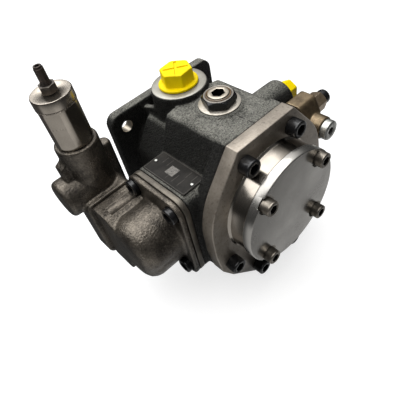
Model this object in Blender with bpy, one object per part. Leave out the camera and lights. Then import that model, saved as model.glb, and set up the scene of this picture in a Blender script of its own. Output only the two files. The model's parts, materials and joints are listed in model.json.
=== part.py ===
"""Variable-displacement vane pump with a pressure controller, as separate pieces.

Frame: metres, +Z up, +Y along the drive shaft towards its free end.
Origin: centre of the drive shaft's end face.
Stations along Y are therefore negative: the mounting face is at -0.068.
"""

import math

import bmesh
import bpy
from mathutils import Matrix, Vector

for old in list(bpy.data.objects):
    bpy.data.objects.remove(old, do_unlink=True)

MM = 0.001
GAP = 0.3            # clearance between pieces that touch

# ------------------------------------------------------------------ driving dimensions, mm
Y_MOUNT = -68.0      # mounting face of the flange
FLANGE_T = 12.8
FLANGE_HALF = 74.8
FLANGE_R = 13.0      # corner radius
BOLT_OFF = 56.6      # four holes on a 160 mm circle
BOLT_R = 7.0
PILOT_R = 62.5
PILOT_L = 9.0
Y_JOINT = -219.4     # joint between housing and end cover
COVER_T = 14.8
BOSS_L = 18.8
BOSS_R = 62.0
DISC_T = 10.4
DISC_R = 63.7
BOT_Z = -116.0       # flat foot of housing and cover
TOP_Z = 86.0
Y_RING = -171.7      # middle plane of ring, rotor and control pistons
Y_SUCTION = -114.9
SHAFT_R = 16.0
SCREW_PCD = 54.66    # radius of the four bearing cover screws
STROKE = 5.0         # greatest eccentricity of the ring
RING_R = 57.0
RING_BORE = 46.0
ROTOR_R = 39.0
PAD_X = -87.0        # machined side pad
SPACER_T = 6.1
HOUSE_X = -93.4
FLG_X = -99.8        # outer face of the control piston housing's flange
CUP_END = -146.0
CUP_R = 34.5
CUP_Z = -5.0
Y_SPLIT = -123.0     # joint between piston housing and controller
VX, VY = -119.5, -94.0   # axis of the controller's vertical bore
SLEEVE_LO, SLEEVE_HI = 87.9, 142.0
ADJ_X = 3.0          # height adjusting screw stands over the ring's centre at rest
PP_Y, PP_Z, PP_X = -155.8, 25.5, 113.7   # pressure port axis and face
SV_Y, SV_Z = -188.0, 11.6                # side valve arm axis
SV_X = 109.0                             # side valve branch axis


# ------------------------------------------------------------------ helpers
MATERIALS = {}


def material(name, colour, rough, metal):
    if name not in MATERIALS:
        mat = bpy.data.materials.new(name)
        mat.use_nodes = True
        shader = mat.node_tree.nodes["Principled BSDF"]
        shader.inputs["Base Color"].default_value = (*colour, 1.0)
        shader.inputs["Roughness"].default_value = rough
        shader.inputs["Metallic"].default_value = metal
        MATERIALS[name] = mat
    return MATERIALS[name]


PAINT = material("cast_paint", (0.045, 0.047, 0.045), 0.55, 0.3)
CAST = material("bare_casting", (0.17, 0.15, 0.13), 0.5, 0.7)
PLATE = material("cover_plate_steel", (0.30, 0.27, 0.23), 0.45, 0.8)
SATIN = material("satin_disc", (0.35, 0.34, 0.32), 0.4, 0.9)
BLACK = material("black_oxide", (0.02, 0.02, 0.022), 0.4, 0.6)
SILVER = material("zinc_screw", (0.45, 0.42, 0.37), 0.35, 0.9)
YELLOW = material("yellow_plastic", (0.85, 0.72, 0.0), 0.4, 0.0)
BROWN = material("passivated_brown", (0.33, 0.25, 0.16), 0.4, 0.8)
STEEL = material("machined_steel", (0.42, 0.39, 0.36), 0.3, 0.95)
ZINC = material("bright_zinc", (0.6, 0.62, 0.58), 0.3, 0.9)
TAG = material("nameplate_dark", (0.06, 0.055, 0.045), 0.5, 0.4)
BRONZE = material("bronze", (0.45, 0.30, 0.12), 0.35, 0.9)
RUBBER = material("rubber", (0.02, 0.02, 0.02), 0.7, 0.0)

# Rotation that turns local +Z to each direction of the frame.
AIM = {
    "+Z": Matrix.Identity(4),
    "-Z": Matrix.Rotation(math.pi, 4, "X"),
    "-Y": Matrix.Rotation(math.pi / 2, 4, "X"),
    "+Y": Matrix.Rotation(-math.pi / 2, 4, "X"),
    "+X": Matrix.Rotation(math.pi / 2, 4, "Y"),
    "-X": Matrix.Rotation(-math.pi / 2, 4, "Y"),
}


def put(name, mesh, at, aim="+Z", mat=None, turn=0.0, helper=False):
    obj = bpy.data.objects.new(name, mesh)
    bpy.context.scene.collection.objects.link(obj)
    spin = Matrix.Rotation(math.radians(turn), 4, "Z")
    obj.matrix_world = Matrix.Translation(Vector(at) * MM) @ AIM[aim] @ spin
    if mat is not None and not mesh.materials:
        mesh.materials.append(mat)
    if helper:
        obj.hide_render = True
        obj.display_type = "WIRE"
    return obj


def ring_points(kind, size, seg, phase=0.0):
    """Points of a circle, or of a regular polygon across flats, at equal angles."""
    pts = []
    for i in range(seg):
        a = 2 * math.pi * i / seg
        if kind == "c":
            r = size
        else:
            sides = 6 if kind == "h" else 4
            step = 2 * math.pi / sides
            off = (a + step / 2) % step - step / 2
            r = (size / 2) / math.cos(step / 2 - abs(off)) if kind == "h" else size
            # corners lie at multiples of the step
        pts.append((r * math.cos(a + phase), r * math.sin(a + phase)))
    return pts


def turned(name, rings, seg=24, loop=False, phase=0.0):
    """A closed solid from rings (kind, size, height): 'c' radius or 'h' hexagon across flats."""
    bm = bmesh.new()
    loops = []
    for kind, size, z in rings:
        loops.append([bm.verts.new((x * MM, y * MM, z * MM)) for x, y in ring_points(kind, size, seg, phase)])
    pairs = list(zip(loops[:-1], loops[1:]))
    if loop:
        pairs.append((loops[-1], loops[0]))
    for a, b in pairs:
        for i in range(seg):
            j = (i + 1) % seg
            bm.faces.new((a[i], a[j], b[j], b[i]))
    if not loop:
        bm.faces.new(list(reversed(loops[0])))
        bm.faces.new(loops[-1])
    bmesh.ops.recalc_face_normals(bm, faces=bm.faces)
    mesh = bpy.data.meshes.new(name)
    bm.to_mesh(mesh)
    bm.free()
    mesh.shade_smooth()
    mesh.set_sharp_from_angle(angle=math.radians(35))
    return mesh


def fillet(corners, seg=4):
    """A closed outline: each corner is (x, y, radius), rounded with an arc."""
    out = []
    n = len(corners)
    for k in range(n):
        x, y, r = corners[k]
        p = Vector((x, y))
        a = Vector(corners[k - 1][:2]) - p
        b = Vector(corners[(k + 1) % n][:2]) - p
        if r <= 0:
            out.append((x, y))
            continue
        a.normalize()
        b.normalize()
        half = math.acos(max(-1, min(1, a.dot(b)))) / 2
        d = r / math.tan(half)
        mid = (a + b).normalized()
        c = p + mid * (r / math.sin(half))
        s = p + a * d - c
        e = p + b * d - c
        turn = math.atan2(s.x * e.y - s.y * e.x, s.dot(e))
        for i in range(seg + 1):
            t = turn * i / seg
            v = Vector((s.x * math.cos(t) - s.y * math.sin(t), s.x * math.sin(t) + s.y * math.cos(t)))
            out.append((c.x + v.x, c.y + v.y))
    return out


def prism(name, outline, lo, hi, along="Z", chamfer=0.0):
    """Extrudes an outline. along Y reads it as (x, z), along X as (y, z), along Z as (x, y)."""
    bm = bmesh.new()

    def place(u, v, w):
        if along == "Y":
            return (u * MM, w * MM, v * MM)
        if along == "X":
            return (w * MM, u * MM, v * MM)
        return (u * MM, v * MM, w * MM)

    low = [bm.verts.new(place(u, v, lo)) for u, v in outline]
    high = [bm.verts.new(place(u, v, hi)) for u, v in outline]
    n = len(outline)
    for i in range(n):
        j = (i + 1) % n
        bm.faces.new((low[i], low[j], high[j], high[i]))
    bm.faces.new(list(reversed(low)))
    bm.faces.new(high)
    bmesh.ops.recalc_face_normals(bm, faces=bm.faces)
    mesh = bpy.data.meshes.new(name)
    bm.to_mesh(mesh)
    bm.free()
    return mesh


def combine(obj, tool, how):
    mod = obj.modifiers.new(f"{how.lower()}_{len(obj.modifiers)}", "BOOLEAN")
    mod.operation = how
    mod.solver = "EXACT"
    mod.object = tool


COUNT = [0]


def helper_mesh(mesh, at=(0, 0, 0), aim="+Z", turn=0.0):
    COUNT[0] += 1
    return put(f"tool_{COUNT[0]}", mesh, at, aim, turn=turn, helper=True)


def add(obj, mesh, at=(0, 0, 0), aim="+Z"):
    combine(obj, helper_mesh(mesh, at, aim), "UNION")


def cut(obj, mesh, at=(0, 0, 0), aim="+Z"):
    combine(obj, helper_mesh(mesh, at, aim), "DIFFERENCE")


def rod(radius, lo, hi, seg=24):
    return turned("rod", [("c", radius, lo), ("c", radius, hi)], seg)


# ------------------------------------------------------------------ outline of cover and housing
def cover_outline(inset=0.0):
    """Round on its upper half, with a flat top, straight sides and a wide flat foot."""
    r = 84.0 - inset
    pts = [(-38 + inset * 0.4, TOP_Z - inset), (38 - inset * 0.4, TOP_Z - inset)]
    tangent = 39.5
    upper = [(r * math.cos(math.radians(a)), r * math.sin(math.radians(a))) for a in
             [tangent * (1 - i / 5) for i in range(6)]]
    right = upper + [(r, -24.0), (80.0 - inset, -56.0), (67.0 - inset, -78.0), (29.0, BOT_Z)]
    left = [(-x, z) for x, z in reversed(right)]
    return [pts[0], pts[1]] + right + left


# ------------------------------------------------------------------ pump housing
housing = put("pump_housing", prism("pump_housing", cover_outline(), Y_JOINT + GAP, -206.0, "Y"), (0, 0, 0), mat=PAINT)
# Ring chamber: the same outline, drawn in on the control piston's side.
body = [(-38, 85.0, 9), (34, 85.0, 9), (62, 58, 12), (82, 22, 20), (82.5, -26, 10), (78, -56, 10), (65, -78, 8),
        (29, BOT_Z, 0), (-29, BOT_Z, 0), (-65, -78, 8), (-62, -20, 10), (-61, 20, 10), (-54, 49, 8)]
add(housing, prism("chamber", fillet(body, 4), -207.0, -136.0, "Y"))
# Waist between the ring chamber and the flange.
waist = [(-34, 64, 14), (34, 64, 14), (60, 30, 16), (62, -30, 16), (40, -66, 14), (-40, -66, 14), (-62, -30, 16), (-60, 30, 16)]
add(housing, prism("waist", fillet(waist, 3), -137.0, -92.0, "Y"))
add(housing, turned("throat", [("c", 52.0, 0), ("c", 60.0, 14.0)], 24), (0, -93.0, 0), "+Y")
flange = [(-FLANGE_HALF, FLANGE_HALF, FLANGE_R), (FLANGE_HALF, FLANGE_HALF, FLANGE_R),
          (FLANGE_HALF, -FLANGE_HALF, FLANGE_R), (-FLANGE_HALF, -FLANGE_HALF, FLANGE_R)]
add(housing, prism("flange", fillet(flange, 4), Y_MOUNT - FLANGE_T, Y_MOUNT, "Y"))
add(housing, rod(PILOT_R, 0, PILOT_L + 1, 36), (0, Y_MOUNT - 1, 0), "+Y")
for side in (-1, 1):
    web = [(-136, 40), (-80, 40), (-80, 66), (-98, 72), (-136, 76)]
    add(housing, prism("web", web, side * 27 - 3.5, side * 27 + 3.5, "X"))
# Suction port boss, height screw boss, pressure port boss, side pad, side valve pad.
add(housing, turned("suction_boss", [("c", 33.0, 30), ("c", 30.5, 90.6), ("c", 29.0, 91.8)], 28), (0, Y_SUCTION, 0))
add(housing, turned("screw_boss", [("c", 26.0, 70), ("c", 23.5, 87.2)], 24), (ADJ_X, Y_RING, 0))
add(housing, turned("pressure_boss", [("c", 22.5, 40), ("c", 21.1, PP_X)], 24), (0, PP_Y, PP_Z), "+X")
pad = [(-213.4, -62.0, 11), (-130.0, -62.0, 15), (-130.0, 48.7, 15), (-213.4, 48.7, 15)]
add(housing, prism("side_pad", fillet(pad, 4), PAD_X, -50.0, "X"))
valve_pad = [(-210.0, -22.0, 8), (-165.0, -22.0, 8), (-165.0, 21.0, 8), (-210.0, 21.0, 8)]
add(housing, prism("valve_pad", fillet(valve_pad, 3), 60.0, 92.0, "X"))
# Ring chamber, shaft bores, seal bore, ports and piston bores.
cut(housing, rod(63.5, 0, 76.6, 36), (0, Y_JOINT - 2, 0), "+Y")
cut(housing, rod(31.3, 0, 36, 24), (0, -146, 0), "+Y")
cut(housing, rod(22.3, 0, 60, 24), (0, -112, 0), "+Y")
cut(housing, rod(27.3, 0, 12, 24), (0, -70.0, 0), "+Y")
cut(housing, rod(16.7, 20, 100, 24), (0, Y_SUCTION, 0))
cut(housing, rod(11.6, 40, 100, 20), (ADJ_X, Y_RING, 0))
cut(housing, rod(10.7, 20, 120, 16), (0, PP_Y, PP_Z), "+X")
cut(housing, rod(22.3, 30, 100, 24), (0, Y_RING, 0), "-X")
cut(housing, rod(12.3, 30, 86.5, 16), (0, Y_RING, 0), "+X")
for sx in (-1, 1):
    for sz in (-1, 1):
        cut(housing, rod(BOLT_R, 0, 30, 12), (sx * BOLT_OFF, Y_MOUNT - 22, sz * BOLT_OFF), "+Y")

COVER_SCREWS = [(-32.5, 68.5), (32.5, 68.5), (-66.0, -50.0), (66.0, -50.0), (-28.0, -99.0), (28.0, -99.0)]
for x, z in COVER_SCREWS:
    cut(housing, rod(6.4, 0, 20, 10), (x, Y_JOINT - 3, z), "+Y")
PISTON_SCREWS = [(-201.3, 36.0), (-142.2, 36.0), (-200.0, -49.0), (-142.2, -49.0)]
for y, z in PISTON_SCREWS:
    cut(housing, rod(6.4, 0, 17, 10), (PAD_X - 2, y, z), "+X")

# ------------------------------------------------------------------ end cover, bearing cover and their screws
Y_COVER = Y_JOINT - COVER_T
Y_BOSS = Y_COVER - BOSS_L
cover = put("end_cover", prism("end_cover", cover_outline(), Y_COVER, Y_JOINT, "Y"), (0, 0, 0), mat=PLATE)
add(cover, rod(BOSS_R, 0, BOSS_L + 3, 40), (0, Y_COVER + 3, 0), "-Y")
cut(cover, rod(22.3, 0, 24, 24), (0, Y_JOINT + 2, 0), "-Y")
cut(cover, rod(30.0, 0, 30, 24), (0, Y_BOSS + 12, 0), "-Y")
for x, z in COVER_SCREWS:
    cut(cover, rod(6.6, 0, 20, 10), (x, Y_JOINT + 2, z), "-Y")
for k in range(4):
    a = math.radians(45 + 90 * k)
    cut(cover, rod(5.4, 0, 26, 10), (SCREW_PCD * math.cos(a), Y_BOSS + 22, SCREW_PCD * math.sin(a)), "-Y")

disc = put("bearing_cover", turned("bearing_cover", [("c", DISC_R, 0), ("c", DISC_R, DISC_T - 1.0), ("c", DISC_R - 1.0, DISC_T - GAP)], 48),
           (0, Y_BOSS - GAP, 0), "-Y", SATIN)
for k in range(4):
    a = math.radians(45 + 90 * k)
    cx, cz = SCREW_PCD * math.cos(a), SCREW_PCD * math.sin(a)
    cut(disc, rod(9.4, 0, 12, 16), (cx, Y_BOSS - DISC_T + 2.2, cz), "-Y")
    cut(disc, rod(5.4, 0, 20, 10), (cx, Y_BOSS + 4, cz), "-Y")


def cap_screw(name, head_r, head_h, shank_r, shank_l, key):
    """Socket head cap screw: the head stands above z = 0, the shank below it."""
    return turned(name, [
        ("c", shank_r - 0.6, -shank_l), ("c", shank_r, -shank_l + 0.8), ("c", shank_r, 0.0),
        ("c", head_r, 0.0), ("c", head_r, head_h - 0.8), ("c", head_r - 0.8, head_h),
        ("h", key, head_h), ("h", key, head_h * 0.45)], 12, phase=0.2)


# The four silver screws: their heads seat in pockets that break the disc's edge.
silver = cap_screw("bearing_cover_screw", 8.0, 10.6, 5.0, 22.0, 8.0)
for k in range(4):
    a = math.radians(45 + 90 * k)
    put(f"bearing_cover_screw_{k + 1}", silver,
        (SCREW_PCD * math.cos(a), Y_BOSS - DISC_T + 1.9, SCREW_PCD * math.sin(a)), "-Y", SILVER)
black = cap_screw("cover_screw", 9.0, 12.0, 6.0, 28.0, 10.0)
for k, (x, z) in enumerate(COVER_SCREWS):
    put(f"end_cover_screw_{k + 1}", black, (x, Y_COVER - GAP, z), "-Y", BLACK)

# ------------------------------------------------------------------ control piston housing and its spacer
spacer_out = [(-213.4, -62.0, 11), (-130.0, -62.0, 15), (-130.0, 48.7, 15), (-213.4, 48.7, 15)]
spacer = put("spacer_plate", prism("spacer_plate", fillet(spacer_out, 4), PAD_X - GAP - SPACER_T + 0.3, PAD_X - GAP, "X"), (0, 0, 0), mat=CAST)
cut(spacer, rod(22.6, 80, 100, 24), (0, Y_RING, 0), "-X")
for y, z in PISTON_SCREWS:
    cut(spacer, rod(6.6, 0, 30, 10), (PAD_X + 5, y, z), "-X")

cup = put("control_piston_housing", prism("control_piston_housing", fillet(spacer_out, 4), FLG_X, HOUSE_X - GAP, "X"), (0, 0, 0), mat=CAST)
add(cup, turned("cup", [("c", CUP_R + 1, 96), ("c", CUP_R, -CUP_END - 9), ("c", CUP_R - 2.5, -CUP_END - 3.5), ("c", CUP_R - 9, -CUP_END)], 30), (0, Y_RING, CUP_Z), "-X")
# Lower lobe under the bore.
add(cup, turned("lobe", [("c", 33, 96), ("c", 32, -CUP_END - 13), ("c", 28.5, -CUP_END - 5.5), ("c", 20, -CUP_END - 1.5)], 24), (0, Y_RING, -14.0), "-X")
ledge = [(-160.0, -50.0, 6), (Y_SPLIT - GAP, -50.0, 0), (Y_SPLIT - GAP, 29.0, 0), (-146.0, 29.0, 5), (-160.0, 20.0, 6)]
add(cup, prism("ledge", fillet(ledge, 3), CUP_END + 1.0, -97.0, "X"))
cut(cup, rod(22.4, 90, 136, 24), (0, Y_RING, 0), "-X")
for y, z in PISTON_SCREWS:
    cut(cup, rod(6.6, 0, 30, 10), (-88, y, z), "-X")
    cut(cup, rod(9.8, 0, 60, 14), (FLG_X + 3.6, y, z), "-X")
head = cap_screw("piston_housing_screw", 8.8, 9.4, 6.0, 19.0, 10.0)
for k, (y, z) in enumerate(PISTON_SCREWS):
    put(f"piston_housing_screw_{k + 1}", head, (FLG_X + 3.6 - GAP, y, z), "-X", BLACK)

# ------------------------------------------------------------------ pressure controller
ctrl_out = [(-150.0, -50.0, 10), (-94.0, -50.0, 10), (-94.0, 31.0, 8), (-150.0, 31.0, 8)]
ctrl = put("controller_body", prism("controller_body", fillet(ctrl_out, 3), Y_SPLIT, -100.0, "Y"), (0, 0, 0), mat=CAST)
add(ctrl, turned("valve_barrel", [("c", 18.0, -46), ("c", 22.4, -38), ("c", 22.2, 86.0), ("c", 20.8, SLEEVE_LO - GAP)], 24), (VX, VY, 0))
add(ctrl, turned("side_boss", [("c", 21.5, 118), ("c", 21.5, 157), ("c", 17.0, 161.5)], 20), (0, VY, 33.5), "-X")
add(ctrl, prism("lug", [(-148.5, 45.0), (-148.5, 70.0), (-141.0, 74.0), (-136.0, 74.0), (-136.0, 45.0)], VY - 7, VY + 7, "Y"))
add(ctrl, turned("bolt_boss", [("c", 8.0, -12), ("c", 8.0, 60), ("c", 6.5, 63)], 12), (-92.5, -86.0, 0))
cut(ctrl, rod(9.3, -30, 60, 16), (VX, VY, 0))
cut(ctrl, rod(15.3, 58, 100, 20), (VX, VY, 0))

sleeve = put("spring_sleeve", turned("spring_sleeve", [
    ("c", 14.9, SLEEVE_LO - 18), ("c", 14.9, SLEEVE_LO), ("c", 18.0, SLEEVE_LO), ("h", 36.4, SLEEVE_LO + 1.5), ("h", 36.4, 131.5),
    ("c", 18.2, 132.0), ("c", 19.3, 132.6), ("c", 19.3, 141.0), ("c", 18.4, SLEEVE_HI),
    ("c", 4.8, SLEEVE_HI), ("c", 4.8, 136.0), ("c", 11.8, 133.0), ("c", 11.8, SLEEVE_LO - 18)], 24, loop=True, phase=math.radians(10)), (VX, VY, 0), mat=STEEL)
put("pressure_set_screw", turned("pressure_set_screw", [
    ("c", 3.6, 124.0), ("c", 4.4, 125.0), ("c", 4.4, 165.6), ("c", 3.6, 166.7), ("h", 4.0, 166.7), ("h", 4.0, 162.5)], 18), (VX, VY, 0), mat=BLACK)
put("pressure_lock_nut", turned("pressure_lock_nut", [
    ("h", 14.0, SLEEVE_HI + GAP), ("h", 14.0, SLEEVE_HI + 8.0), ("c", 4.8, SLEEVE_HI + 8.0), ("c", 4.8, SLEEVE_HI + GAP)], 18, loop=True, phase=0.3), (VX, VY, 0), mat=BLACK)
put("spring_seat", turned("spring_seat", [("c", 11.2, 118.5), ("c", 11.2, 122.5), ("c", 4.0, 123.6)], 24), (VX, VY, 0), mat=STEEL)
put("control_spool", turned("control_spool", [
    ("c", 8.6, -20), ("c", 8.9, -19), ("c", 8.9, -6), ("c", 5.5, -5), ("c", 5.5, 8), ("c", 8.9, 9), ("c", 8.9, 26), ("c", 5.5, 27), ("c", 5.5, 36),
    ("c", 8.9, 37), ("c", 8.9, 54), ("c", 4.5, 55), ("c", 4.5, 71.0), ("c", 9.8, 72.0), ("c", 9.8, 75.0)], 14), (VX, VY, 0), mat=STEEL)


def coil(name, radius, wire, z0, z1, turns, around=8, per=12):
    """A helical spring with closed, tapering-free ends, as one tube."""
    bm = bmesh.new()
    steps = int(turns * per)
    loops = []
    for i in range(steps + 1):
        t = i / steps
        a = 2 * math.pi * turns * t
        z = z0 + wire + (z1 - z0 - 2 * wire) * t
        c = Vector((radius * math.cos(a), radius * math.sin(a), z))
        n = Vector((math.cos(a), math.sin(a), 0))
        ring = []
        for j in range(around):
            b = 2 * math.pi * j / around
            p = c + n * (wire * math.cos(b)) + Vector((0, 0, 1)) * (wire * math.sin(b))
            ring.append(bm.verts.new(p * MM))
        loops.append(ring)
    for a_, b_ in zip(loops[:-1], loops[1:]):
        for j in range(around):
            k = (j + 1) % around
            bm.faces.new((a_[j], a_[k], b_[k], b_[j]))
    bm.faces.new(list(reversed(loops[0])))
    bm.faces.new(loops[-1])
    bmesh.ops.recalc_face_normals(bm, faces=bm.faces)
    mesh = bpy.data.meshes.new(name)
    bm.to_mesh(mesh)
    bm.free()
    mesh.shade_smooth()
    return mesh


put("pressure_spring", coil("pressure_spring", 8.6, 1.5, 75.6, 118.0, 5, 5, 7), (VX, VY, 0), mat=STEEL)

# ------------------------------------------------------------------ height adjuster
put("height_adjust_screw", turned("height_adjust_screw", [
    ("c", 10.0, 57.8), ("c", 11.2, 59.0), ("c", 11.2, 98.4), ("c", 10.2, 99.4), ("h", 10.0, 99.4), ("h", 10.0, 92.0)], 24), (ADJ_X, Y_RING, 0), mat=STEEL)
put("height_adjust_seal_washer", turned("height_adjust_seal_washer", [
    ("c", 21.0, 87.5), ("c", 21.0, 88.4), ("c", 11.8, 88.4), ("c", 11.8, 87.5)], 20, loop=True), (ADJ_X, Y_RING, 0), mat=STEEL)
put("height_adjust_lock_nut", turned("height_adjust_lock_nut", [
    ("h", 32.0, 88.7), ("h", 32.0, 96.3), ("c", 16.0, 97.3), ("c", 11.7, 97.3), ("c", 11.7, 88.7)], 24, loop=True, phase=0.35), (ADJ_X, Y_RING, 0), mat=BLACK)

# ------------------------------------------------------------------ transport plugs
put("suction_port_plug", turned("suction_port_plug", [
    ("c", 14.5, 78.0), ("c", 16.2, 79.5), ("c", 16.2, 92.1), ("c", 21.2, 92.1), ("c", 21.2, 94.6), ("c", 18.4, 95.0), ("h", 31.0, 95.4), ("h", 31.0, 108.3), ("h", 29.6, 109.0)],
    24, phase=0.12), (0, Y_SUCTION, 0), mat=YELLOW)
put("pressure_port_plug", turned("pressure_port_plug", [
    ("c", 9.2, PP_X - 13), ("c", 10.2, PP_X - 12), ("c", 10.2, PP_X + GAP), ("c", 15.0, PP_X + GAP), ("c", 15.0, PP_X + 2.6), ("h", 22.6, PP_X + 3.0), ("h", 22.6, PP_X + 18.6)],
    24), (0, PP_Y, PP_Z), "+X", YELLOW)

# ------------------------------------------------------------------ nameplate with two rivets, on the pad's top
plate_y = (-203.6, -140.6)
tag = put("nameplate", prism("nameplate", [(-83.8, plate_y[0]), (-54.6, plate_y[0]), (-54.6, plate_y[1]), (-83.8, plate_y[1])], 49.0, 49.8, "Z"), (0, 0, 0), mat=TAG)
rivet = turned("rivet", [("c", 1.0, -1.6), ("c", 1.0, 0.1), ("c", 1.9, 0.1), ("c", 1.5, 0.8)], 8)
for k, y in enumerate((plate_y[0] + 4.0, plate_y[1] - 4.0)):
    cut(tag, rod(1.4, 40, 60, 8), (-68.9, y, 0))
    cut(housing, rod(1.4, 46, 60, 8), (-68.9, y, 0))
    put(f"nameplate_rivet_{k + 1}", rivet, (-68.9, y, 50.0), "+Z", ZINC)

# ------------------------------------------------------------------ side valve
valve_base = [(-209.0, -21.0, 6), (-160.0, -21.0, 6), (-160.0, 0.0, 3), (-179.2, 6.0, 4), (-179.2, 38.0, 5), (-200.0, 38.0, 7), (-209.0, 20.0, 6)]
side = put("side_valve_body", prism("side_valve_body", fillet(valve_base, 3), 92.3, 121.0, "X"), (0, 0, 0), mat=BROWN)
add(side, turned("arm", [("c", 12.6, 110), ("c", 12.6, 127.5), ("c", 11.6, 128.8)], 24), (0, SV_Y, SV_Z), "+X")
add(side, turned("branch", [("c", 13.4, 190), ("c", 13.4, 222.0), ("c", 12.6, 223.4)], 24), (SV_X, 0, 9.3), "-Y")
cut(side, rod(5.0, 105, 140, 20), (0, SV_Y, SV_Z), "+X")
cut(side, rod(8.4, 200, 230, 20), (SV_X, 0, 9.3), "-Y")
put("side_valve_screw", turned("side_valve_screw", [("c", 4.0, 108.0), ("c", 4.6, 109.0), ("c", 4.6, 152.0), ("c", 4.0, 153.0)], 18), (0, SV_Y, SV_Z), "+X", STEEL)
put("side_valve_lock_nut", turned("side_valve_lock_nut", [("h", 22.0, 129.1), ("h", 22.0, 147.6), ("c", 4.9, 147.6), ("c", 4.9, 129.1)], 24, loop=True, phase=0.2), (0, SV_Y, SV_Z), "+X", SILVER)
put("side_valve_cap", turned("side_valve_cap", [("c", 4.95, 155.0), ("c", 4.95, 147.9), ("c", 9.2, 147.9), ("c", 9.2, 157.0), ("c", 7.6, 159.0)], 20), (0, SV_Y, SV_Z), "+X", BLACK)
put("side_valve_plug", turned("side_valve_plug", [
    ("c", 7.6, 205.0), ("c", 8.1, 206.0), ("c", 8.1, 223.7), ("c", 11.8, 223.7), ("c", 11.8, 231.0), ("c", 11.0, 231.8), ("h", 8.0, 231.8), ("h", 8.0, 227.0)], 24), (SV_X, 0, 9.3), "-Y", ZINC)

# ------------------------------------------------------------------ rotating group
shaft = put("drive_shaft", turned("drive_shaft", [
    ("c", 14.9, 0.0), ("c", SHAFT_R, 1.2), ("c", SHAFT_R, 66.0), ("c", 17.0, 67.0), ("c", 17.0, 250.0), ("c", 16.0, 251.0)], 24), (0, 0, 0), "-Y", STEEL)
cut(shaft, prism("keyway", [(-5.1, 11.0), (5.1, 11.0), (5.1, 20.0), (-5.1, 20.0)], -53.3, -6.7, "Y"))
put("shaft_key", prism("shaft_key", fillet([(-4.8, -53.0, 4.7), (4.8, -53.0, 4.7), (4.8, -7.0, 4.7), (-4.8, -7.0, 4.7)], 2), 11.3, 19.0, "Z"), (0, 0, 0), mat=STEEL)
rotor = put("rotor", turned("rotor", [("c", ROTOR_R, -22.4), ("c", ROTOR_R, 22.4), ("c", 17.3, 22.4), ("c", 17.3, -22.4)], 30, loop=True), (0, Y_RING, 0), "+Y", STEEL)
VANES = 9
vane = prism("vane", [(24.3, -0.95), (40.2, -0.95), (40.2, 0.95), (24.3, 0.95)], -22.2, 22.2, "Z")
slot = prism("vane_slot", [(24.0, -1.25), (46.0, -1.25), (46.0, 1.25), (24.0, 1.25)], -25.0, 25.0, "Z")
for k in range(VANES):
    turn = 360.0 * k / VANES + 11.0
    combine(rotor, helper_mesh(slot, (0, Y_RING, 0), "+Y", turn), "DIFFERENCE")
    put(f"vane_{k + 1}", vane, (0, Y_RING, 0), "+Y", STEEL, turn=turn)
put("stator_ring", turned("stator_ring", [
    ("c", RING_R, -22.6), ("c", RING_R, 22.6), ("c", RING_BORE, 22.6), ("c", RING_BORE, -22.6)], 36, loop=True), (STROKE, Y_RING, 0), "+Y", STEEL)
for label, y0 in (("rear_control_plate", -198.6), ("front_control_plate", -148.7)):
    put(label, turned(label, [("c", 63.0, 0), ("c", 63.0, 3.4), ("c", 18.0, 3.4), ("c", 18.0, 0)], 30, loop=True), (0, y0, 0), "+Y", BRONZE)
put("rear_bush", turned("rear_bush", [("c", 22.0, -237.0), ("c", 22.0, -219.0), ("c", 17.3, -219.0), ("c", 17.3, -237.0)], 20, loop=True), (0, 0, 0), "+Y", BRONZE)
put("front_bush", turned("front_bush", [("c", 22.0, -110.0), ("c", 22.0, -84.0), ("c", 17.3, -84.0), ("c", 17.3, -110.0)], 20, loop=True), (0, 0, 0), "+Y", BRONZE)
put("shaft_seal", turned("shaft_seal", [("c", 27.0, -69.0), ("c", 27.0, -61.0), ("c", 17.3, -61.0), ("c", 17.3, -69.0)], 20, loop=True), (0, 0, 0), "+Y", RUBBER)

# ------------------------------------------------------------------ control pistons
large = put("large_control_piston", turned("large_control_piston", [
    ("c", 19.0, 52.4), ("c", 22.0, 55.0), ("c", 22.0, 112.0), ("c", 16.5, 112.0), ("c", 16.5, 68.0)], 20), (0, Y_RING, 0), "-X", STEEL)
small = put("small_control_piston", turned("small_control_piston", [("c", 10.5, 62.4), ("c", 12.0, 64.0), ("c", 12.0, 82.0), ("c", 11.0, 82.6)], 24), (0, Y_RING, 0), "+X", STEEL)
put("piston_spring", coil("piston_spring", 13.0, 1.9, 68.3, 135.5, 5, 5, 7), (0, Y_RING, 0), "-X", STEEL)
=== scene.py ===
"""Looks for the variable-displacement vane pump. Lengths below are millimetres in the row frame:
+Y along the shaft towards its free end, +Z up, origin at the centre of the shaft's end face."""

import json
import math

import bmesh
import bpy
from mathutils import Matrix, Vector

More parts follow.
